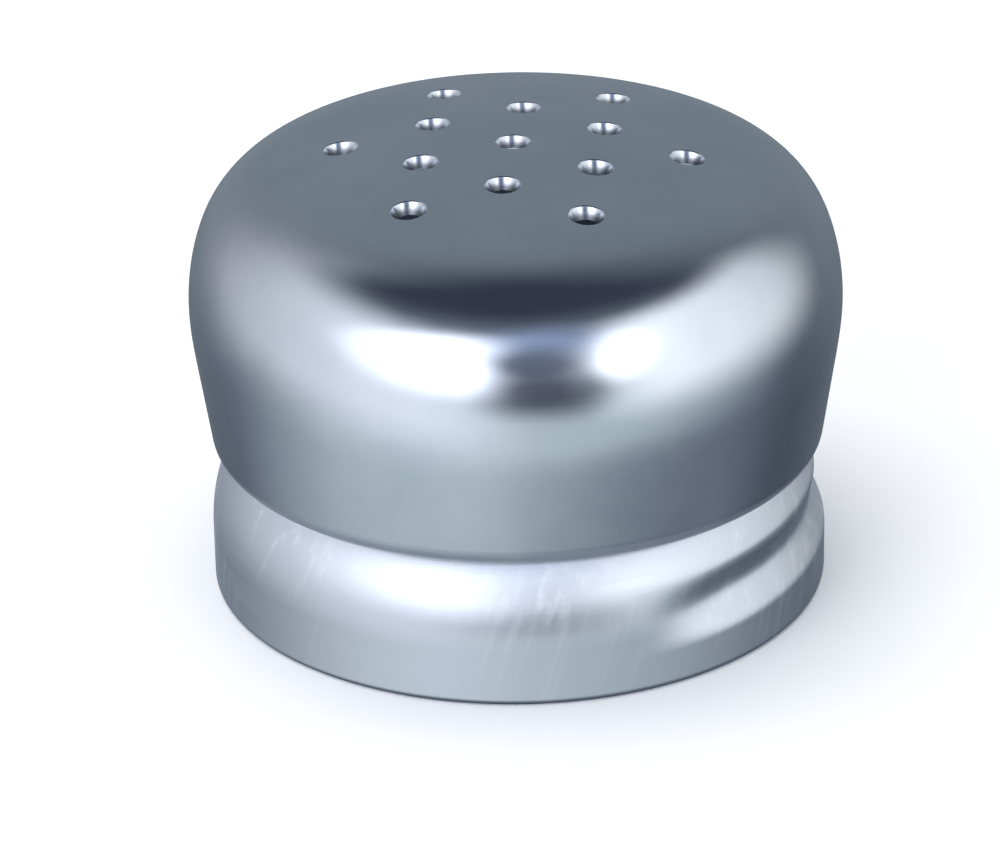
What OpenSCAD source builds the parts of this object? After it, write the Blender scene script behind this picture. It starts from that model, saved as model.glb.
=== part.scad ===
// Mushroom-top screw cap of a table salt or pepper shaker.
// The origin is the centre of the open rim, +Z runs up through the crown.

/* [Dome] */
// Largest diameter of the dome
dome_d = 37.8; // [36:0.1:40]
// Height of the whole cap
cap_h = 26.9; // [25:0.1:29]
// Radius of the shallow crown
crown_r = 72; // [65:1:150]
// Radius of the tight bend between crown and side
corner_r = 5.7; // [4:0.1:6]
// Radius of the slack bend below it
side_r = 12.7; // [10:0.1:16]
// Slope of the crown's edge where the tight bend hands over to the slack one, degrees
corner_end = 69.5; // [60:0.5:75]
// Inward slope of the straight lower wall, degrees from vertical
wall_slope = 8.6; // [6:0.1:10]

/* [Pour holes] */
// Distance between neighbouring holes
hole_pitch = 5.75; // [4.5:0.05:6.2]
// Diameter of a hole
hole_d = 1.4; // [0.8:0.1:1.6]
// Diameter of the drawn-in mouth around a hole
mouth_d = 2.3; // [1.8:0.1:2.8]

/* [Collar] */
// Outer diameter of the collar
collar_d = 36; // [35.6:0.1:36.4]
// Height of the collar, from the rim to the seam under the dome
collar_h = 8.6; // [8.2:0.1:9]
// Height of the folded hem at the rim
hem_h = 1.5; // [1.2:0.1:1.8]
// Diameter of the opening between collar and dome
throat_d = 28; // [26:0.1:28.2]

/* [Thread] */
// Rise of the thread in one full turn
thread_pitch = 4.2; // [3:0.1:5]
// Depth of the rolled thread
thread_depth = 0.75; // [0.5:0.05:0.8]
// Direction in which the thread starts, degrees from +X
thread_start = -65; // [-180:1:180]
// Angle that the thread runs through, run-outs included, degrees
thread_turn = 195; // [120:5:200]

/* [Sheet and gasket] */
// Thickness of the sheet metal
sheet = 0.4; // [0.35:0.05:0.45]
// Thickness of the gasket ring
gasket_h = 0.8; // [0.6:0.1:1]
// Width of the gasket ring
gasket_w = 1.65; // [1.2:0.05:1.7]

/* [Hidden] */
$fn = 96;

// Dome outline: crown, tight bend, slack bend, straight wall, turned-in ledge
crown_end = asin((dome_d / 2 - side_r * (1 - sin(corner_end)) - corner_r * sin(corner_end))
                 / (crown_r - corner_r));
wall_dir = 90 + wall_slope;
crown_centre = [0, cap_h - crown_r];
corner_centre = crown_centre + (crown_r - corner_r) * [sin(crown_end), cos(crown_end)];
side_centre = corner_centre + (corner_r - side_r) * [sin(corner_end), cos(corner_end)];
ledge_bend_r = 1;
ledge_bend_z = collar_h + ledge_bend_r;
side_exit = side_centre + side_r * [sin(wall_dir), cos(wall_dir)];
wall_end_z = ledge_bend_z + ledge_bend_r * cos(wall_dir);
wall_end_x = side_exit[0] - (side_exit[1] - wall_end_z) * tan(wall_slope);
ledge_centre = [wall_end_x - ledge_bend_r * sin(wall_dir), ledge_bend_z];

// Pour holes
hole_r = hole_d / 2;
mouth_r = mouth_d / 2;
mouth_depth = 0.6;
lip_r = mouth_r - 0.05;
lip_depth = 0.75;
lip_root = sheet / 2;
clear = 1;

// Collar outline: flat flange, tight shoulder, slack shoulder, straight skirt, hem
collar_r = collar_d / 2;
shoulder_r = 0.5;
barrel_r = 9.5;
shoulder_end = 59;
shoulder_x = collar_r - barrel_r * (1 - sin(shoulder_end)) - shoulder_r * sin(shoulder_end);
shoulder_centre = [shoulder_x, collar_h - shoulder_r];
barrel_centre = shoulder_centre + (shoulder_r - barrel_r) * [sin(shoulder_end), cos(shoulder_end)];
hem_bend_r = 0.4;
hem_r = collar_r - 2 * sheet;

// Eyelet: the flange's inner edge turned up through the dome's ledge and folded over it
throat_r = throat_d / 2;
eyelet_r = throat_r + sheet;
eyelet_fold = 1;
eyelet_gap = 0.1;
ledge_r = eyelet_r + eyelet_gap;

// Thread: height at its start, lengths of its run-outs, and its cross-section
thread_z = 4.3;
run_out = 26;
thread_steps = 40;
groove_r = collar_r - thread_depth;
ridge_r = groove_r - sheet;
ridge_root = [1.6, -2.2];
ridge_crest = [0.25, -0.45];
groove_mouth = [2.6, -3.9];
groove_floor = [0.05, -0.2];
groove_reach = 0.8;
groove_flush = 0.35;
ridge_flush = -0.1;

// Gasket
gasket_in_r = throat_r + 0.2;

// Points on an arc, angles measured clockwise from +Y of the outline
function arc(centre, r, from, to, steps) =
    [for (i = [0 : steps]) let (a = from + (to - from) * i / steps) centre + r * [sin(a), cos(a)]];

function reversed(points) = [for (i = [len(points) - 1 : -1 : 0]) points[i]];

// Dome surface from the crown's centre to the ledge, moved inwards by inset
function dome_line(inset) = concat(
    arc(crown_centre, crown_r - inset, 0, crown_end, 6),
    arc(corner_centre, corner_r - inset, crown_end + 6, corner_end, 9),
    arc(side_centre, side_r - inset, corner_end + 5, wall_dir, 5),
    arc(ledge_centre, ledge_bend_r - inset, wall_dir, 180, 5));

// Collar surface from the flange to the skirt, moved inwards by inset
function shoulder_line(inset) = concat(
    arc(shoulder_centre, shoulder_r - inset, 0, shoulder_end, 5),
    arc(barrel_centre, barrel_r - inset, shoulder_end + 7, 90, 5));

// Radius of the middle of the collar's sheet at height z
function wall_mid(z) =
    let (r = barrel_r - sheet / 2, rise = max(0, z - barrel_centre[1]))
    barrel_centre[0] + sqrt(r * r - rise * rise);

// Height of the crown's outer surface at radius r
function crown_z(r) = crown_centre[1] + sqrt(crown_r * crown_r - r * r);

// Depth factor of the thread at angle t after its start: 0 at both ends, 1 between
function fade(t) = pow(sin(90 * min(1, t / run_out, (thread_turn - t) / run_out)), 2);

// One cross-section of the thread: two points at the crest, then four that follow the wall
function section(t, wall_shift, crest, root_dz, crest_dz) =
    let (z = thread_z + thread_pitch * t / 360,
         flush = wall_mid(z) + (wall_shift > 0 ? groove_flush : ridge_flush),
         r = flush + (crest - flush) * fade(t))
    concat(
        [[r, z + crest_dz[0]], [r, z + crest_dz[1]]],
        [for (k = [0 : 3]) let (h = z + root_dz[1] + (root_dz[0] - root_dz[1]) * k / 3)
            [wall_mid(h) + wall_shift, h]]);

// Solid swept along the thread
module thread_sweep(wall_shift, crest, root_dz, crest_dz) {
    n = 6;
    points = [for (i = [0 : thread_steps])
        let (t = thread_turn * i / thread_steps, a = thread_start + t)
        for (p = section(t, wall_shift, crest, root_dz, crest_dz)) [p[0] * cos(a), p[0] * sin(a), p[1]]];
    sides = [for (i = [0 : thread_steps - 1], k = [0 : n - 1])
        let (a = n * i + k, b = n * i + (k + 1) % n)
        for (f = [[a, b, b + n], [a, b + n, a + n]]) f];
    first = [[for (k = [n - 1 : -1 : 0]) k]];
    last = [[for (k = [0 : n - 1]) n * thread_steps + k]];
    polyhedron(points, concat(sides, first, last));
}

// Places a child at the centre hole and at two rings of six
module at_holes() {
    children();
    for (i = [0 : 5]) {
        rotate(60 * i + 30)
            translate([hole_pitch, 0, crown_z(hole_pitch) - cap_h])
                children();
        rotate(60 * i)
            translate([sqrt(3) * hole_pitch, 0, crown_z(sqrt(3) * hole_pitch) - cap_h])
                children();
    }
}

// Lip that a punched hole pushes down below the sheet
module hole_lip() {
    translate([0, 0, cap_h - lip_depth])
        cylinder(r = lip_r, h = lip_depth - lip_root);
}

// Drawn-in mouth and the hole below it
module hole_cut() {
    flare = (mouth_r - hole_r) / mouth_depth;
    translate([0, 0, cap_h - lip_depth - clear])
        cylinder(r = hole_r, h = lip_depth + clear);
    translate([0, 0, cap_h - mouth_depth])
        cylinder(r1 = hole_r, r2 = hole_r + flare * (mouth_depth + clear), h = mouth_depth + clear);
}

// Drawn dome with a turned-in ledge and punched pour holes
module perforated_dome() {
    color([0.62, 0.65, 0.70])
    difference() {
        union() {
            rotate_extrude()
                polygon(concat(
                    dome_line(0),
                    [[ledge_r, collar_h], [ledge_r, collar_h + sheet]],
                    reversed(dome_line(sheet))));
            at_holes()
                hole_lip();
        }
        at_holes()
            hole_cut();
    }
}

// Rolled collar: flange with eyelet, rounded shoulder, skirt with thread, folded hem
module threaded_collar() {
    fold_z = collar_h + sheet;
    color([0.70, 0.72, 0.76])
    difference() {
        union() {
            rotate_extrude()
                polygon(concat(
                    shoulder_line(0),
                    arc([collar_r - hem_bend_r, hem_bend_r], hem_bend_r, 90, 180, 4),
                    [[hem_r, 0], [hem_r, hem_h], [collar_r - sheet, hem_h]],
                    reversed(shoulder_line(sheet)),
                    [[throat_r, collar_h - sheet],
                     [throat_r, fold_z + sheet],
                     [eyelet_r + eyelet_fold, fold_z + sheet],
                     [eyelet_r + eyelet_fold, fold_z],
                     [eyelet_r, fold_z],
                     [eyelet_r, collar_h]]));
            thread_sweep(0, ridge_r, ridge_root, ridge_crest);
        }
        thread_sweep(groove_reach, groove_r, groove_mouth, groove_floor);
    }
}

// Flat ring under the flange, on which the jar's lip seals
module sealing_gasket() {
    color([0.88, 0.87, 0.82])
    translate([0, 0, collar_h - sheet - gasket_h])
        difference() {
            cylinder(r = gasket_in_r + gasket_w, h = gasket_h);
            translate([0, 0, -clear])
                cylinder(r = gasket_in_r, h = gasket_h + 2 * clear);
        }
}

perforated_dome();
threaded_collar();
sealing_gasket();
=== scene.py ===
"""Looks of the mushroom-top shaker cap: dome, rolled collar, gasket, light tent and camera.

Lengths are in millimetres until a mesh, light or camera is made, and in metres from there on.
"""
import math
from collections import namedtuple

import bmesh
import bpy
import numpy as np
from mathutils import Matrix, Vector
from mathutils.geometry import delaunay_2d_cdt


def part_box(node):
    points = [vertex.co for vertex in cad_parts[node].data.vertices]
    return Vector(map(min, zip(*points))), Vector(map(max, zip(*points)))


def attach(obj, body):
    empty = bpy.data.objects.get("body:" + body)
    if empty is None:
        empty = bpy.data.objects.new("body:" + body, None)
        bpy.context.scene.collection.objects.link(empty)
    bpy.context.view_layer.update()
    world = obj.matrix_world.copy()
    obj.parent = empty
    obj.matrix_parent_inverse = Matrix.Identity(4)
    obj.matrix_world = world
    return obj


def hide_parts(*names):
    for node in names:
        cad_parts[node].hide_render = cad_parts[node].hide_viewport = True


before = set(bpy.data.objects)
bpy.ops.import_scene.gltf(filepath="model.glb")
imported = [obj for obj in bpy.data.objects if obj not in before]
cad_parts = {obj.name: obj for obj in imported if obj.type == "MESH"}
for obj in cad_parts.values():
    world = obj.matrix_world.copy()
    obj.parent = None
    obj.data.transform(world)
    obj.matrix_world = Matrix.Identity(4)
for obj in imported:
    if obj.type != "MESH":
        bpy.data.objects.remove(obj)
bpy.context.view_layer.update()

MM = 0.001


def node_size(node):
    """Largest radius, lowest and highest z of a CAD node, in millimetres."""
    low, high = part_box(node)
    return high[0] / MM, low[2] / MM, high[2] / MM


# ---------------------------------------------------------------- driving sizes
DOME_R, COLLAR_H, CAP_H = node_size("perforated_dome")
COLLAR_R = node_size("threaded_collar")[0]
GASKET_R, GASKET_LOW, GASKET_TOP = node_size("sealing_gasket")
SHEET = 0.4

CROWN_BEND = (72.0, 11.1)       # radius and turn in degrees, from the middle outwards
CORNER_BEND = (5.7, 58.4)
SIDE_BEND = (12.7, 29.1)
WALL_LENGTH = 9.0
BEND_BLUR = 0.9                 # how softly one bend passes into the next
LEDGE_BEND_R = 1.0
LEDGE_R = 14.5
PLATE_R = 12.6                  # inside this the crown is a plate with holes in it

HOLE_PITCH = 5.75
HOLE_LAND_R = 1.6
MOUTH_R = 1.1
MOUTH_BEND_R = 0.1
LIP_SLOPE = 68.0
LIP_DEPTH = 0.7
LIP_EDGE = 0.22                 # thickness of the stretched metal at a lip's end
MOUTH_RIM = 0.14                # narrow ring round a mouth that keeps its edge crisp

SHOULDER_R = 0.5
BARREL_R = 9.5
SHOULDER_END = 59.0
HEM_H = 1.45
HEM_EDGE = 0.08                 # rounding of the hem's upper edge
HEM_TUCK = 0.03                 # height of the fillet between the hem's upper edge and the skirt
THROAT_R = 14.0
THROAT_BEND_R = 0.3
EYELET_FOLD = 1.0
EYELET_BEND_R = 0.35
EYELET_EDGE_R = 0.15
SEAM_GAP = 0.02                 # clearance between the folded eyelet and the dome's ledge

THREAD_PITCH = 4.2
THREAD_DEPTH = 0.75
THREAD_START = -65.0
THREAD_TURN = 195.0
THREAD_RUN_OUT = 26.0
THREAD_Z = 4.3
THREAD_RISE = 2.05              # height of the steep flank above the groove's middle
THREAD_FALL = 2.25              # height of the slack flank below it

GASKET_GAP = 0.2                # how far the gasket's opening stands back from the throat
GASKET_EDGE_R = 0.18
GASKET_IN_R = THROAT_R + GASKET_GAP
PRESS_R = (GASKET_IN_R + GASKET_R) / 2
PRESS_DEPTH = 0.07              # depth of the mark that a jar's lip leaves in the gasket
PRESS_SHARE = 0.35              # half the mark's width as a share of the gasket's width

# ---------------------------------------------------------------- fineness of the meshes
LATHE_STEPS = 288
HOLE_STEPS = 48
LIP_ROWS = 5
BEND_STEP = 0.02                # spacing of the points that an outline is worked out at
SIDE_SPACING = 0.3
PLATE_SPACING = 0.6             # distance between the crown's free points
PLATE_MARGIN = 0.4              # distance that they keep from the rim and the holes
WALL_SPACING = 0.08
SHARP_ANGLE = 38.0              # a fold of more than this is shaded as an edge
WELD = 0.002                    # points nearer than this become one


# ---------------------------------------------------------------- outlines
def blurred(values, width):
    """Values softened with a bell curve, held level past both ends."""
    reach = int(3 * width)
    bell = np.exp(-0.5 * (np.arange(-reach, reach + 1) / width) ** 2)
    padded = np.pad(values, reach, mode="edge")
    return np.convolve(padded, bell / bell.sum(), mode="valid")


def bend_line(top, bends, straight, blur):
    """Outline drawn by its curvature: rows of x, z and the slope below the horizon in radians."""
    curve = [np.full(round(r * math.radians(turn) / BEND_STEP), 1 / r) for r, turn in bends]
    curve.append(np.zeros(round(straight / BEND_STEP)))
    slope = np.cumsum(blurred(np.concatenate(curve), blur / BEND_STEP)) * BEND_STEP
    x = np.cumsum(np.cos(slope)) * BEND_STEP
    z = top - np.cumsum(np.sin(slope)) * BEND_STEP
    return np.column_stack([x, z, slope])


def arc(centre, radius, first, last, steps):
    """Points on a bend with their slopes, both measured as in bend_line."""
    slope = np.radians(np.linspace(first, last, steps + 1))
    x = centre[0] + radius * np.sin(slope)
    z = centre[1] + radius * np.cos(slope)
    return np.column_stack([x, z, slope])


def inset(line, depth):
    """The line moved into the metal by depth, which may be one value or one per point."""
    x = line[:, 0] - depth * np.sin(line[:, 2])
    z = line[:, 1] - depth * np.cos(line[:, 2])
    return np.column_stack([x, z])


def thinned(line, spacing):
    """Every so many points of a fine line, with its end kept."""
    length = np.concatenate([[0], np.cumsum(np.hypot(*np.diff(line[:, :2], axis=0).T))])
    wanted = np.linspace(0, length[-1], max(2, round(length[-1] / spacing)))
    return np.column_stack([np.interp(wanted, length, line[:, k]) for k in range(3)])


def dome_outline():
    """Outer dome line from the middle of the crown down to the end of the straight wall."""
    line = bend_line(CAP_H, [CROWN_BEND, CORNER_BEND, SIDE_BEND], WALL_LENGTH, BEND_BLUR)
    line[:, 0] *= DOME_R / line[:, 0].max()
    bend_end = COLLAR_H + LEDGE_BEND_R * (1 + np.cos(line[-1, 2]))
    return line[line[:, 1] >= bend_end]


OUTLINE = dome_outline()


def crown_z(x, y):
    """Height of the crown above a point of the plate."""
    return np.interp(np.hypot(x, y), OUTLINE[:, 0], OUTLINE[:, 1])


# ---------------------------------------------------------------- mesh helpers
class Shell:
    """Collects strips and plates of one piece, then welds them into one closed mesh."""

    def __init__(self):
        self.points = []
        self.faces = []

    def add(self, points, faces):
        base = len(self.points)
        self.points.extend(np.asarray(points) * MM)
        self.faces.extend([tuple(base + i for i in face) for face in faces])

    def strip(self, grid, closed=False):
        """Quads over grid[row][column], columns joined in a ring, rows in a loop if closed."""
        rows, columns = grid.shape[:2]
        last = rows if closed else rows - 1
        faces = [
            (i * columns + j,
             i * columns + (j + 1) % columns,
             (i + 1) % rows * columns + (j + 1) % columns,
             (i + 1) % rows * columns + j)
            for i in range(last) for j in range(columns)
        ]
        self.add(grid.reshape(-1, 3), faces)

    def build(self, name, material, node):
        """The finished piece, riding on the body and standing for its CAD node."""
        mesh = bpy.data.meshes.new(name)
        mesh.from_pydata([tuple(p) for p in self.points], [], self.faces)
        work = bmesh.new()
        work.from_mesh(mesh)
        bmesh.ops.remove_doubles(work, verts=work.verts, dist=WELD * MM)
        bmesh.ops.recalc_face_normals(work, faces=work.faces)
        work.to_mesh(mesh)
        work.free()
        mesh.shade_smooth()
        mesh.set_sharp_from_angle(angle=math.radians(SHARP_ANGLE))
        mesh.materials.append(material)
        piece = bpy.data.objects.new(name, mesh)
        bpy.context.scene.collection.objects.link(piece)
        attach(piece, "root")
        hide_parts(node)
        return piece


def round_angles(steps):
    """Angles in radians that divide a full turn."""
    return np.arange(steps) * 2 * math.pi / steps


def turned(profile):
    """Grid of a profile of x, z rows turned about the Z axis."""
    angle = round_angles(LATHE_STEPS)
    x, z = profile[:, 0:1], profile[:, 1:2]
    return np.stack([x * np.cos(angle), x * np.sin(angle), z + 0 * angle], axis=2)


# ---------------------------------------------------------------- dome
def hole_centres():
    """One hole in the middle, six around it and six more at the gaps between those."""
    centres = [(0.0, 0.0)]
    for radius, first in ((HOLE_PITCH, 30), (math.sqrt(3) * HOLE_PITCH, 0)):
        for i in range(6):
            angle = math.radians(first + 60 * i)
            centres.append((radius * math.cos(angle), radius * math.sin(angle)))
    return centres


def hole_profile():
    """Distance from the hole's axis and drop below the crown: down the lip and back beneath it."""
    roll = arc((MOUTH_R, -MOUTH_BEND_R), MOUTH_BEND_R, 0, LIP_SLOPE, 10)
    reach = roll[:, 0] - MOUTH_R
    left = LIP_DEPTH + roll[-1, 1]
    straight = np.linspace(0, 1, LIP_ROWS + 1)[1:]
    down_x = np.concatenate([reach, reach[-1] + straight * left / math.tan(math.radians(LIP_SLOPE))])
    down_z = np.concatenate([roll[:, 1], roll[-1, 1] - straight * left])
    slope = np.concatenate([roll[:, 2], np.full(LIP_ROWS, math.radians(LIP_SLOPE))])
    outer = np.column_stack([down_x, down_z, slope])
    thickness = np.linspace(SHEET, LIP_EDGE, len(outer))
    inner = inset(outer, thickness)
    land = HOLE_LAND_R - MOUTH_R
    outer = np.vstack([[land, 0], [MOUTH_RIM, 0], *outer[:, :2] * (-1, 1)])
    inner = np.vstack([*(inner * (-1, 1))[::-1], [MOUTH_RIM, -SHEET], [land, -SHEET]])
    profile = np.vstack([outer, inner])
    return np.column_stack([MOUTH_R + profile[:, 0], profile[:, 1]])


def hole_grid(centre, profile):
    """A hole's lip as a ring of quads that follows the crown."""
    angle = round_angles(HOLE_STEPS)
    x = centre[0] + profile[:, 0:1] * np.cos(angle)
    y = centre[1] + profile[:, 0:1] * np.sin(angle)
    return np.stack([x, y, crown_z(x, y) + profile[:, 1:2]], axis=2)


def plate_triangles():
    """Flat triangles that fill the crown between its rim and the land around each hole."""
    points = [(PLATE_R * math.cos(a), PLATE_R * math.sin(a)) for a in round_angles(LATHE_STEPS)]
    centres = hole_centres()
    for cx, cy in centres:
        points += [(cx + HOLE_LAND_R * math.cos(a), cy + HOLE_LAND_R * math.sin(a))
                   for a in round_angles(HOLE_STEPS)]
    count = math.ceil(PLATE_R / PLATE_SPACING)
    clear = HOLE_LAND_R + PLATE_MARGIN
    for i in range(-2 * count, 2 * count + 1):
        for j in range(-count, count + 1):
            x = (i + j % 2 / 2) * PLATE_SPACING
            y = j * PLATE_SPACING * math.sqrt(3) / 2
            in_plate = math.hypot(x, y) < PLATE_R - PLATE_MARGIN
            if in_plate and all(math.hypot(x - a, y - b) > clear for a, b in centres):
                points.append((x, y))
    found = delaunay_2d_cdt([Vector(p) for p in points], [], [], 0, 1e-6)
    flat = np.array([tuple(p) for p in found[0]])
    kept = []
    for face in found[2]:
        mx, my = flat[list(face)].mean(axis=0)
        if all(math.hypot(mx - a, my - b) > HOLE_LAND_R for a, b in centres):
            kept.append(tuple(face))
    return flat, kept


def make_dome(material):
    """Side and ledge as one strip, the crown as two plates, and a ring of quads for each hole."""
    shell = Shell()
    side = thinned(OUTLINE[OUTLINE[:, 0].searchsorted(PLATE_R):], SIDE_SPACING)
    side[0, :2] = PLATE_R, crown_z(PLATE_R, 0)
    end = side[-1]
    bend_centre = inset(end[None], LEDGE_BEND_R)[0]
    bend = arc(bend_centre, LEDGE_BEND_R, math.degrees(end[2]), 180, 8)[1:]
    outer = np.vstack([side, bend])
    inner = inset(outer, SHEET)
    inner[0] = PLATE_R, side[0, 1] - SHEET
    ledge_z = bend[-1, 1]
    ledge = np.array([[LEDGE_R, ledge_z], [LEDGE_R, ledge_z + SHEET]])
    shell.strip(turned(np.vstack([outer[:, :2], ledge, inner[::-1]])))
    flat, triangles = plate_triangles()
    top = crown_z(flat[:, 0], flat[:, 1])
    shell.add(np.column_stack([flat, top]), triangles)
    shell.add(np.column_stack([flat, top - SHEET]), [face[::-1] for face in triangles])
    profile = hole_profile()
    for centre in hole_centres():
        shell.strip(hole_grid(centre, profile))
    return shell.build("polished_dome", material, "perforated_dome")


# ---------------------------------------------------------------- collar
def shoulder_line():
    """Outer collar line from the flange over the shoulder to the top of the skirt."""
    turn = math.radians(SHOULDER_END)
    x = COLLAR_R - BARREL_R * (1 - math.sin(turn)) - SHOULDER_R * math.sin(turn)
    tight = (x, COLLAR_H - SHOULDER_R)
    step = SHOULDER_R - BARREL_R
    slack = (tight[0] + step * math.sin(turn), tight[1] + step * math.cos(turn))
    return np.vstack([arc(tight, SHOULDER_R, 0, SHOULDER_END, 10),
                      arc(slack, BARREL_R, SHOULDER_END, 90, 24)[1:]])


def wall(x, first, last):
    """Straight upright wall as rows of x and z, without its first point."""
    z = np.linspace(first, last, max(2, round(abs(first - last) / WALL_SPACING)) + 1)[1:]
    return np.column_stack([np.full(len(z), x), z])


def collar_section():
    """The collar's closed cross-section, outside first, with True where the thread is rolled in."""
    shoulder = shoulder_line()
    skirt_top = shoulder[-1, 1]
    skirt_in_r = COLLAR_R - SHEET
    hem_in_r = skirt_in_r - SHEET
    tuck_z = HEM_H + HEM_TUCK
    hem = arc((skirt_in_r, SHEET), SHEET, 90, 270, 14)[:, :2]
    tuck = np.array([[hem_in_r, HEM_H - HEM_EDGE],
                     [hem_in_r + HEM_EDGE, HEM_H],
                     [skirt_in_r - 2 * HEM_TUCK, HEM_H],
                     [skirt_in_r, tuck_z]])
    outside = np.vstack([shoulder[:, :2], wall(COLLAR_R, skirt_top, SHEET), hem[1:]])
    inside = np.vstack([wall(skirt_in_r, tuck_z, skirt_top), inset(shoulder, SHEET)[::-1]])
    floor_z = COLLAR_H - SHEET
    fold_z = COLLAR_H + SHEET
    edge_r = THROAT_R + SHEET + EYELET_FOLD
    fold_top = fold_z + SHEET
    throat_bend = arc((THROAT_R + THROAT_BEND_R, floor_z + THROAT_BEND_R), THROAT_BEND_R, 180, 270, 5)
    fold_bend = arc((THROAT_R + EYELET_BEND_R, fold_top - EYELET_BEND_R), EYELET_BEND_R, -90, 0, 6)
    fold_edge = arc((edge_r - EYELET_EDGE_R, fold_top - EYELET_EDGE_R), EYELET_EDGE_R, 0, 90, 4)
    under = np.array([[edge_r, fold_z + SEAM_GAP],
                      [THROAT_R + SHEET, fold_z + SEAM_GAP],
                      [THROAT_R + SHEET, COLLAR_H - SEAM_GAP]])
    throat = np.vstack([throat_bend[:, :2], fold_bend[:, :2], fold_edge[:, :2], under])
    section = np.vstack([outside, tuck, inside, throat])
    rolled = np.zeros(len(section), bool)
    rolled[:len(outside)] = True
    rolled[len(outside) + len(tuck):len(outside) + len(tuck) + len(inside)] = True
    return section, rolled


def eased(value):
    """0 below 0, 1 above 1, and a smooth rise between."""
    value = np.clip(value, 0, 1)
    return value * value * (3 - 2 * value)


def thread_depth(angle, z):
    """How far the rolled thread pushes the sheet inwards at an angle in degrees and a height."""
    turn = (angle - THREAD_START) % 360
    along = np.minimum(turn, THREAD_TURN - turn) / THREAD_RUN_OUT
    above = z - (THREAD_Z + THREAD_PITCH * turn / 360)
    groove = eased(1 - np.maximum(above / THREAD_RISE, -above / THREAD_FALL))
    return THREAD_DEPTH * eased(along) * groove


def make_collar(material):
    """One turned section, with the thread pushed into its skirt."""
    shell = Shell()
    section, rolled = collar_section()
    grid = turned(section)
    angle = np.degrees(np.arctan2(grid[..., 1], grid[..., 0]))
    push = thread_depth(angle, grid[..., 2]) * rolled[:, None]
    radius = np.hypot(grid[..., 0], grid[..., 1])
    grid[..., :2] *= ((radius - push) / radius)[..., None]
    shell.strip(grid, closed=True)
    return shell.build("rolled_collar", material, "threaded_collar")


# ---------------------------------------------------------------- gasket
def make_gasket(material):
    """Ring with rounded edges and the shallow groove that a jar's lip presses into it."""
    shell = Shell()
    edge = GASKET_EDGE_R
    low, high = GASKET_LOW + edge, GASKET_TOP - edge
    near, far = GASKET_IN_R + edge, GASKET_R - edge
    across = np.linspace(near, far, 25)
    off_middle = np.abs(across - PRESS_R) / (PRESS_SHARE * (GASKET_R - GASKET_IN_R))
    under = np.column_stack([across, GASKET_LOW + PRESS_DEPTH * eased(1.5 - off_middle)])
    corners = [
        arc((far, low), edge, 180, 90, 6),
        arc((far, high), edge, 90, 0, 6),
        arc((near, high), edge, 0, -90, 6),
        arc((near, low), edge, -90, -180, 6),
    ]
    section = np.vstack([under[:-1], *[c[:, :2] for c in corners[:-1]], corners[-1][:-1, :2]])
    shell.strip(turned(section), closed=True)
    return shell.build("gasket_ring", material, "sealing_gasket")


# ---------------------------------------------------------------- node trees
class Tree:
    """Short way to write a node tree."""

    def __init__(self, tree):
        self.tree = tree
        tree.nodes.clear()

    def add(self, kind, inputs=(), **settings):
        """A node with its first inputs filled from a list, or named ones from a dict."""
        node = self.tree.nodes.new(kind)
        for key, value in settings.items():
            setattr(node, key, value)
        pairs = inputs.items() if isinstance(inputs, dict) else enumerate(inputs)
        for key, value in pairs:
            if isinstance(value, bpy.types.NodeSocket):
                self.tree.links.new(value, node.inputs[key])
            else:
                node.inputs[key].default_value = value
        return node

    def math(self, operation, *inputs):
        return self.add("ShaderNodeMath", inputs, operation=operation).outputs[0]

    def vector(self, operation, *inputs):
        return self.add("ShaderNodeVectorMath", inputs, operation=operation).outputs[0]

    def scaled(self, vector, factor):
        return self.add("ShaderNodeVectorMath", {"Vector": vector, "Scale": factor},
                        operation="SCALE").outputs[0]

    def ramp(self, value, low, high, out_low=0.0, out_high=1.0):
        """Value carried softly from low..high to out_low..out_high and held past both ends."""
        return self.add("ShaderNodeMapRange", [value, low, high, out_low, out_high],
                        interpolation_type="SMOOTHSTEP").outputs[0]

    def noise(self, vector, scale, detail=2.0, roughness=0.5):
        return self.add("ShaderNodeTexNoise",
                        {"Vector": vector, "Scale": scale, "Detail": detail, "Roughness": roughness}
                        ).outputs[0]

    def mix(self, factor, first, second):
        """Colour between two colours."""
        node = self.add("ShaderNodeMix", data_type="RGBA")
        for index, value in ((0, factor), (6, first), (7, second)):
            if isinstance(value, bpy.types.NodeSocket):
                self.tree.links.new(value, node.inputs[index])
            else:
                node.inputs[index].default_value = value
        return node.outputs[2]


def new_material(name):
    """A material and its empty node tree."""
    material = bpy.data.materials.new(name)
    material.use_nodes = True
    return material, Tree(material.node_tree)


def in_millimetres(t):
    """Object coordinates, the height alone, and the distance from the cap's axis."""
    place = t.scaled(t.add("ShaderNodeTexCoord").outputs["Object"], 1 / MM)
    parts = t.add("ShaderNodeSeparateXYZ", [place])
    squares = [t.math("MULTIPLY", parts.outputs[k], parts.outputs[k]) for k in (0, 1)]
    radius = t.math("SQRT", t.math("ADD", *squares))
    return place, parts.outputs[2], radius


def finish_metal(t, colour, roughness, height, depth, spread=0.0):
    """Metal surface with its relief. Spread widens what it mirrors to left and right."""
    bump = t.add("ShaderNodeBump", {"Strength": 1.0, "Distance": depth * MM, "Height": height})
    around = t.add("ShaderNodeTangent", direction_type="RADIAL", axis="Z")
    surface = t.add("ShaderNodeBsdfPrincipled",
                    {"Base Color": colour, "Roughness": roughness, "Normal": bump.outputs[0],
                     "Metallic": 1.0, "IOR": 2.5, "Anisotropic": spread, "Tangent": around.outputs[0]})
    t.add("ShaderNodeOutputMaterial", [surface.outputs[0]])


# Middle and size of each scuffed patch, on the left and right of the dome's tight bend
SCUFF_PATCHES = (((-11.0, -9.4, 25.0), 2.8), ((15.2, -1.8, 25.0), 2.4))


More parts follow.
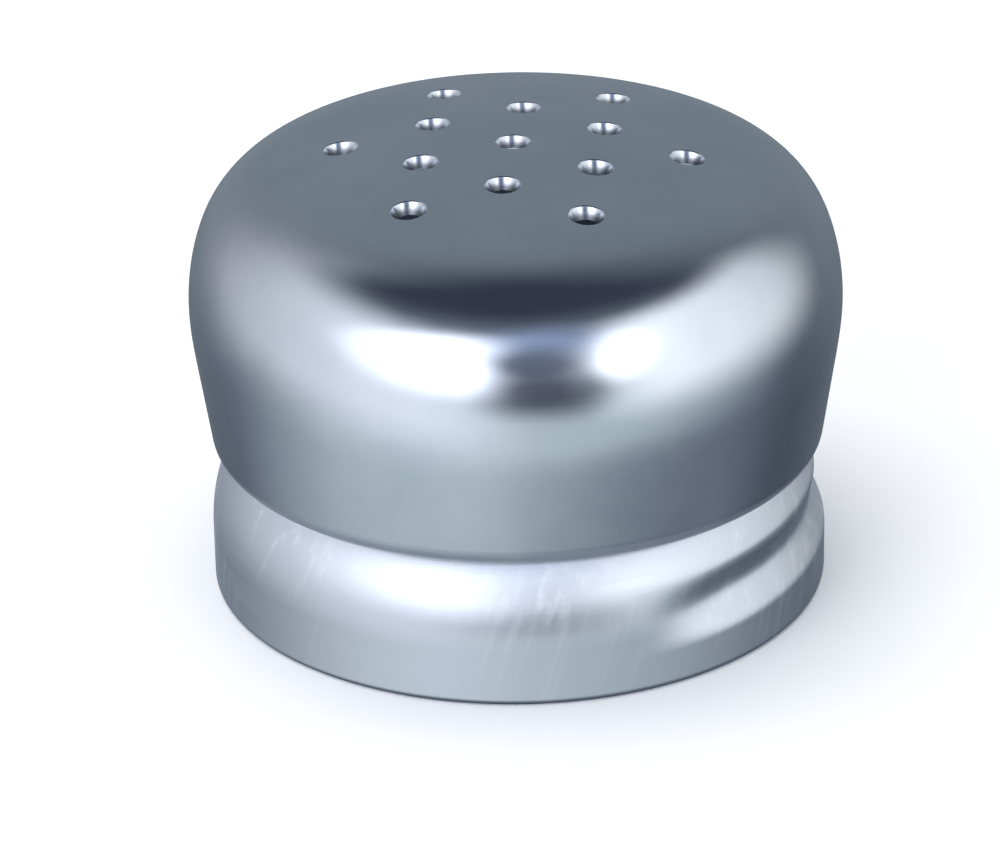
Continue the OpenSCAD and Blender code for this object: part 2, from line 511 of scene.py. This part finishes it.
def scuff_mask(t, place, centre, size):
    """1 at a point of the dome, fading to 0 at size millimetres from it."""
    away = t.add("ShaderNodeVectorMath", [place, centre], operation="DISTANCE").outputs["Value"]
    return t.ramp(away, size, 0.3 * size)


def mouth_rough_and_shade_mask(t, radius, z):
    """1 in the pour holes and under the crown, where no buffing wheel reaches: it makes the metal there
    rougher and paints shade into its colour.
    """
    sag = t.math("MULTIPLY", t.math("MULTIPLY", radius, radius), 0.5 / CROWN_BEND[0])
    depth = t.math("SUBTRACT", t.math("SUBTRACT", CAP_H, sag), z)
    below = t.ramp(depth, 0.1, 0.6)
    on_plate = t.ramp(radius, PLATE_R - 0.4, PLATE_R - 0.9)
    return t.math("MULTIPLY", below, on_plate)


def crease_mask(t, z):
    """1 in the fold between dome and collar, which the buffing wheel can't reach either."""
    away = t.math("ABSOLUTE", t.math("SUBTRACT", z, COLLAR_H + 0.3))
    return t.ramp(away, 0.8, 0.3)


def polished_steel():
    """Buffed sheet: round polishing lines, soft haze, and two patches of fine scuffs."""
    material, t = new_material("polished_steel")
    place, z, radius = in_millimetres(t)
    drift = t.scaled(place, 0.12)
    rings = t.add("ShaderNodeCombineXYZ",
                  [t.math("MULTIPLY", radius, 5.0), 0.0, t.math("MULTIPLY", z, 5.0)])
    lines = t.noise(t.vector("ADD", rings.outputs[0], drift), 1.0, 4.0, 0.65)
    haze = t.noise(place, 0.16, 3.0, 0.6)
    waviness = t.noise(place, 0.07, 1.0, 0.4)
    scratch = t.noise(t.vector("MULTIPLY", place, (4.0, 1.2, 2.5)), 1.0, 5.0, 0.75)
    patches = t.math("MAXIMUM", *[scuff_mask(t, place, *patch) for patch in SCUFF_PATCHES])
    scuffs = t.math("MULTIPLY", patches, t.ramp(scratch, 0.5, 0.68))
    rough = t.math("ADD", t.ramp(haze, 0.3, 0.7, 0.11, 0.15), t.ramp(lines, 0.35, 0.75, 0.0, 0.03))
    rough = t.math("ADD", rough, t.math("MULTIPLY", scuffs, 0.2))
    height = t.math("ADD", t.math("MULTIPLY", lines, 0.05), t.math("MULTIPLY", waviness, 12.0))
    height = t.math("ADD", height, t.math("MULTIPLY", scuffs, 0.35))
    colour = t.mix(t.ramp(haze, 0.3, 0.7), (0.63, 0.67, 0.72, 1), (0.69, 0.72, 0.765, 1))
    mouth = mouth_rough_and_shade_mask(t, radius, z)
    rough = t.math("ADD", rough, t.math("MULTIPLY", mouth, 0.22))
    rough = t.math("ADD", rough, t.math("MULTIPLY", crease_mask(t, z), 0.35))
    # Painted shade: the steel in the pour holes and under the crown is given a dark colour, besides being
    # made rougher.
    colour = t.mix(mouth, colour, (0.24, 0.25, 0.27, 1))
    finish_metal(t, colour, rough, height, 0.012)
    return material


def satin_steel():
    """Rolled sheet: faint lines round the skirt and slanted rub marks."""
    material, t = new_material("satin_steel")
    place, z, radius = in_millimetres(t)
    rings = t.add("ShaderNodeCombineXYZ",
                  [t.math("MULTIPLY", radius, 7.0), 0.0, t.math("MULTIPLY", z, 7.0)])
    lines = t.noise(t.vector("ADD", rings.outputs[0], t.scaled(place, 0.15)), 1.0, 4.0, 0.7)
    twist = t.add("ShaderNodeVectorRotate", {"Vector": place, "Angle": t.math("MULTIPLY", z, -0.016)},
                  rotation_type="Z_AXIS")
    slanted = t.noise(t.vector("MULTIPLY", twist.outputs[0], (1.5, 1.5, 0.05)), 1.0, 4.0, 0.65)
    patches = t.ramp(t.noise(place, 0.13, 2.0, 0.5), 0.42, 0.6)
    rubs = t.math("MULTIPLY", t.ramp(slanted, 0.48, 0.72), patches)
    rough = t.math("ADD", t.ramp(lines, 0.3, 0.75, 0.32, 0.36), t.math("MULTIPLY", rubs, 0.06))
    rough = t.math("ADD", rough, t.math("MULTIPLY", crease_mask(t, z), 0.3))
    height = t.math("ADD", t.math("MULTIPLY", lines, 0.15), t.math("MULTIPLY", slanted, 0.25))
    colour = t.mix(rubs, (0.64, 0.67, 0.715, 1), (0.72, 0.745, 0.78, 1))
    finish_metal(t, colour, rough, height, 0.010, spread=0.88)
    return material


def gasket_rubber():
    """Soft off-white liner with a fine grain and a greyed ring where it is pressed."""
    material, t = new_material("gasket_rubber")
    place, _, radius = in_millimetres(t)
    grain = t.noise(place, 2.6, 5.0, 0.7)
    stain = t.ramp(t.noise(place, 0.3, 3.0, 0.6), 0.4, 0.65)
    pressed = t.ramp(t.math("ABSOLUTE", t.math("SUBTRACT", radius, PRESS_R)), 0.5, 0.2)
    worn = t.math("MULTIPLY", pressed, t.ramp(grain, 0.35, 0.6, 0.35, 0.8))
    colour = t.mix(stain, (0.80, 0.78, 0.71, 1), (0.72, 0.69, 0.61, 1))
    colour = t.mix(worn, colour, (0.56, 0.55, 0.52, 1))
    bump = t.add("ShaderNodeBump", {"Strength": 1.0, "Distance": 0.02 * MM, "Height": grain})
    surface = t.add("ShaderNodeBsdfPrincipled",
                    {"Base Color": colour, "Roughness": t.ramp(grain, 0.3, 0.7, 0.5, 0.68),
                     "Normal": bump.outputs[0], "Specular IOR Level": 0.4})
    t.add("ShaderNodeOutputMaterial", [surface.outputs[0]])
    return material


# ---------------------------------------------------------------- studio
CAMERA_AZIMUTH = 6.3
CAMERA_ELEVATION = 26.0
CAMERA_DISTANCE = 310.0
CAMERA_ROLL = 0.9
CAMERA_LENS = 190.1
CAMERA_PIVOT = Vector((0, 0, 7.1))
CAMERA_AIM = (-1.06, 1.11)      # where the camera looks from the pivot: right and up


def facing(azimuth, elevation):
    """Unit vector from the cap towards a direction given in degrees."""
    a, e = math.radians(azimuth), math.radians(elevation)
    return Vector((math.sin(a) * math.cos(e), -math.cos(a) * math.cos(e), math.sin(e)))


def make_camera():
    """Long lens at the front, turned a little about its own axis."""
    back = facing(CAMERA_AZIMUTH, CAMERA_ELEVATION)
    level = Vector((0, 0, 1)).cross(back).normalized()
    upright = back.cross(level)
    roll = math.radians(CAMERA_ROLL)
    right = math.cos(roll) * level - math.sin(roll) * upright
    up = math.sin(roll) * level + math.cos(roll) * upright
    eye = CAMERA_PIVOT + CAMERA_DISTANCE * back
    aim = CAMERA_PIVOT + CAMERA_AIM[0] * right + CAMERA_AIM[1] * up
    away = (eye - aim).normalized()
    right = (right - away * right.dot(away)).normalized()
    turn = Matrix((right, away.cross(right), away)).transposed().to_4x4()
    data = bpy.data.cameras.new("camera")
    data.sensor_width = 36.0
    data.lens = CAMERA_LENS
    data.clip_start = 0.01
    data.clip_end = 20.0
    camera = bpy.data.objects.new("camera", data)
    camera.matrix_world = Matrix.Translation(eye * MM) @ turn
    bpy.context.scene.collection.objects.link(camera)
    bpy.context.scene.camera = camera


# Soft shapes of the light tent as the steel mirrors them, each painted over those before it.
# Azimuth is counted from the camera to the right, and both angles are in degrees. A shape is an
# ellipse at roundness 2 and nearly a rectangle at 6. Its light grows by fade towards its right
# end, and its middle climbs by lean degrees for each degree to the right.
Panel = namedtuple("Panel", "azimuth height half_width half_height lean roundness blur light fade tint")
TENT = [
    Panel(180, 18, 65, 45, 0.0, 6, 0.55, 0.185, 0.15, (0.84, 1.0, 1.15)),     # dim room behind
    Panel(-15, -30, 120, 79, 0.0, 6, 0.20, 0.14, 0.0, (0.86, 1.0, 1.25)),     # dim room in front
    Panel(-10, -28, 84, 19, 0.1, 2, 0.50, 0.47, 0.0, (0.86, 1.0, 1.06)),      # table
    Panel(-80, 9, 63, 33, -0.2, 5, 0.45, 0.59, 0.56, (0.96, 1.0, 1.10)),      # long left wall
    Panel(78, 14, 42, 28, 0.06, 6, 0.38, 0.78, -0.34, (0.96, 1.0, 1.05)),     # right wall
    Panel(-15, 14, 36, 17, 0.0, 2, 0.62, 2.15, 0.0, (0.96, 1.0, 1.11)),       # lamp behind the left wall
    Panel(36, 16, 11, 14, 0.0, 2, 0.65, 2.10, 0.0, (0.98, 1.0, 1.04)),        # lamp behind the right wall
    Panel(11, 27, 22, 14, 0.0, 2, 0.85, 0.28, 0.0, (0.76, 1.0, 1.50)),        # sky in the gap between them
    Panel(7, 12, 18, 12, 0.0, 2, 0.55, 0.12, 0.0, (0.84, 1.0, 1.38)),         # gap
    Panel(8, -5, 18, 11, 0.0, 3, 0.60, 0.07, 0.0, (0.90, 1.0, 1.38)),         # dark foot of the gap
]
CEILING = (0.030, 0.035, 0.055)
TENT_STRENGTH = 1.45            # makes up for what the steel swallows
FLOOR_HALF = 1.5                # half the floor's width, in metres


def make_world():
    """The tent, seen only as light and in the steel."""
    world = bpy.data.worlds.new("tent")
    world.use_nodes = True
    bpy.context.scene.world = world
    t = Tree(world.node_tree)
    ray = t.add("ShaderNodeSeparateXYZ", [t.add("ShaderNodeTexCoord").outputs["Generated"]])
    turn = t.math("ARCTAN2", ray.outputs[0], t.math("MULTIPLY", ray.outputs[1], -1.0))
    azimuth = t.math("SUBTRACT", t.math("DEGREES", turn), CAMERA_AZIMUTH)
    height = t.math("DEGREES", t.math("ARCSINE", ray.outputs[2]))
    colour = (*CEILING, 1)
    for panel in TENT:
        away = t.math("WRAP", t.math("SUBTRACT", azimuth, panel.azimuth), 180.0, -180.0)
        middle = t.math("MULTIPLY_ADD", away, panel.lean, panel.height)
        across = t.math("DIVIDE", away, panel.half_width)
        up = t.math("DIVIDE", t.math("SUBTRACT", height, middle), panel.half_height)
        powers = [t.math("POWER", t.math("ABSOLUTE", part), panel.roundness) for part in (across, up)]
        reach = t.math("POWER", t.math("ADD", *powers), 1 / panel.roundness)
        inside = t.ramp(reach, 1 + panel.blur, 1 - panel.blur)
        light = t.math("MULTIPLY_ADD", across, panel.fade * panel.light, panel.light)
        colour = t.mix(inside, colour, t.scaled(panel.tint, light))
    emit = t.add("ShaderNodeBackground", {"Color": colour, "Strength": TENT_STRENGTH})
    t.add("ShaderNodeOutputWorld", [emit.outputs[0]])


def make_floor():
    """Large pale sheet under the cap. The steel mirrors the tent and not this sheet."""
    material, t = new_material("floor_paper")
    place = t.add("ShaderNodeTexCoord").outputs["Object"]
    tint = t.mix(t.noise(place, 60.0, 3.0), (0.86, 0.87, 0.88, 1), (0.88, 0.885, 0.89, 1))
    surface = t.add("ShaderNodeBsdfPrincipled", {"Base Color": tint, "Roughness": 0.9})
    t.add("ShaderNodeOutputMaterial", [surface.outputs[0]])
    mesh = bpy.data.meshes.new("floor")
    corners = [(-FLOOR_HALF, -FLOOR_HALF, 0), (FLOOR_HALF, -FLOOR_HALF, 0),
               (FLOOR_HALF, FLOOR_HALF, 0), (-FLOOR_HALF, FLOOR_HALF, 0)]
    mesh.from_pydata(corners, [], [(0, 1, 2, 3)])
    mesh.materials.append(material)
    floor = bpy.data.objects.new("floor", mesh)
    bpy.context.scene.collection.objects.link(floor)
    floor.visible_glossy = False


def make_lamp(name, place, size, watts):
    """Soft square lamp that lights the floor and the gasket and isn't mirrored by the steel."""
    data = bpy.data.lights.new(name, "AREA")
    data.size = size
    data.energy = watts
    lamp = bpy.data.objects.new(name, data)
    lamp.location = place
    lamp.rotation_euler = (-Vector(place)).to_track_quat("-Z", "Y").to_euler()
    lamp.visible_glossy = False
    bpy.context.scene.collection.objects.link(lamp)


def make_studio():
    make_world()
    make_floor()
    make_lamp("top_lamp", (-0.15, 0.1, 1.0), 1.2, 13.0)
    make_lamp("front_lamp", (-0.5, -0.7, 0.5), 0.6, 2.0)
    bpy.context.scene.view_settings.view_transform = "Standard"


# ---------------------------------------------------------------- scene
make_camera()
make_studio()
make_dome(polished_steel())
make_collar(satin_steel())
make_gasket(gasket_rubber())
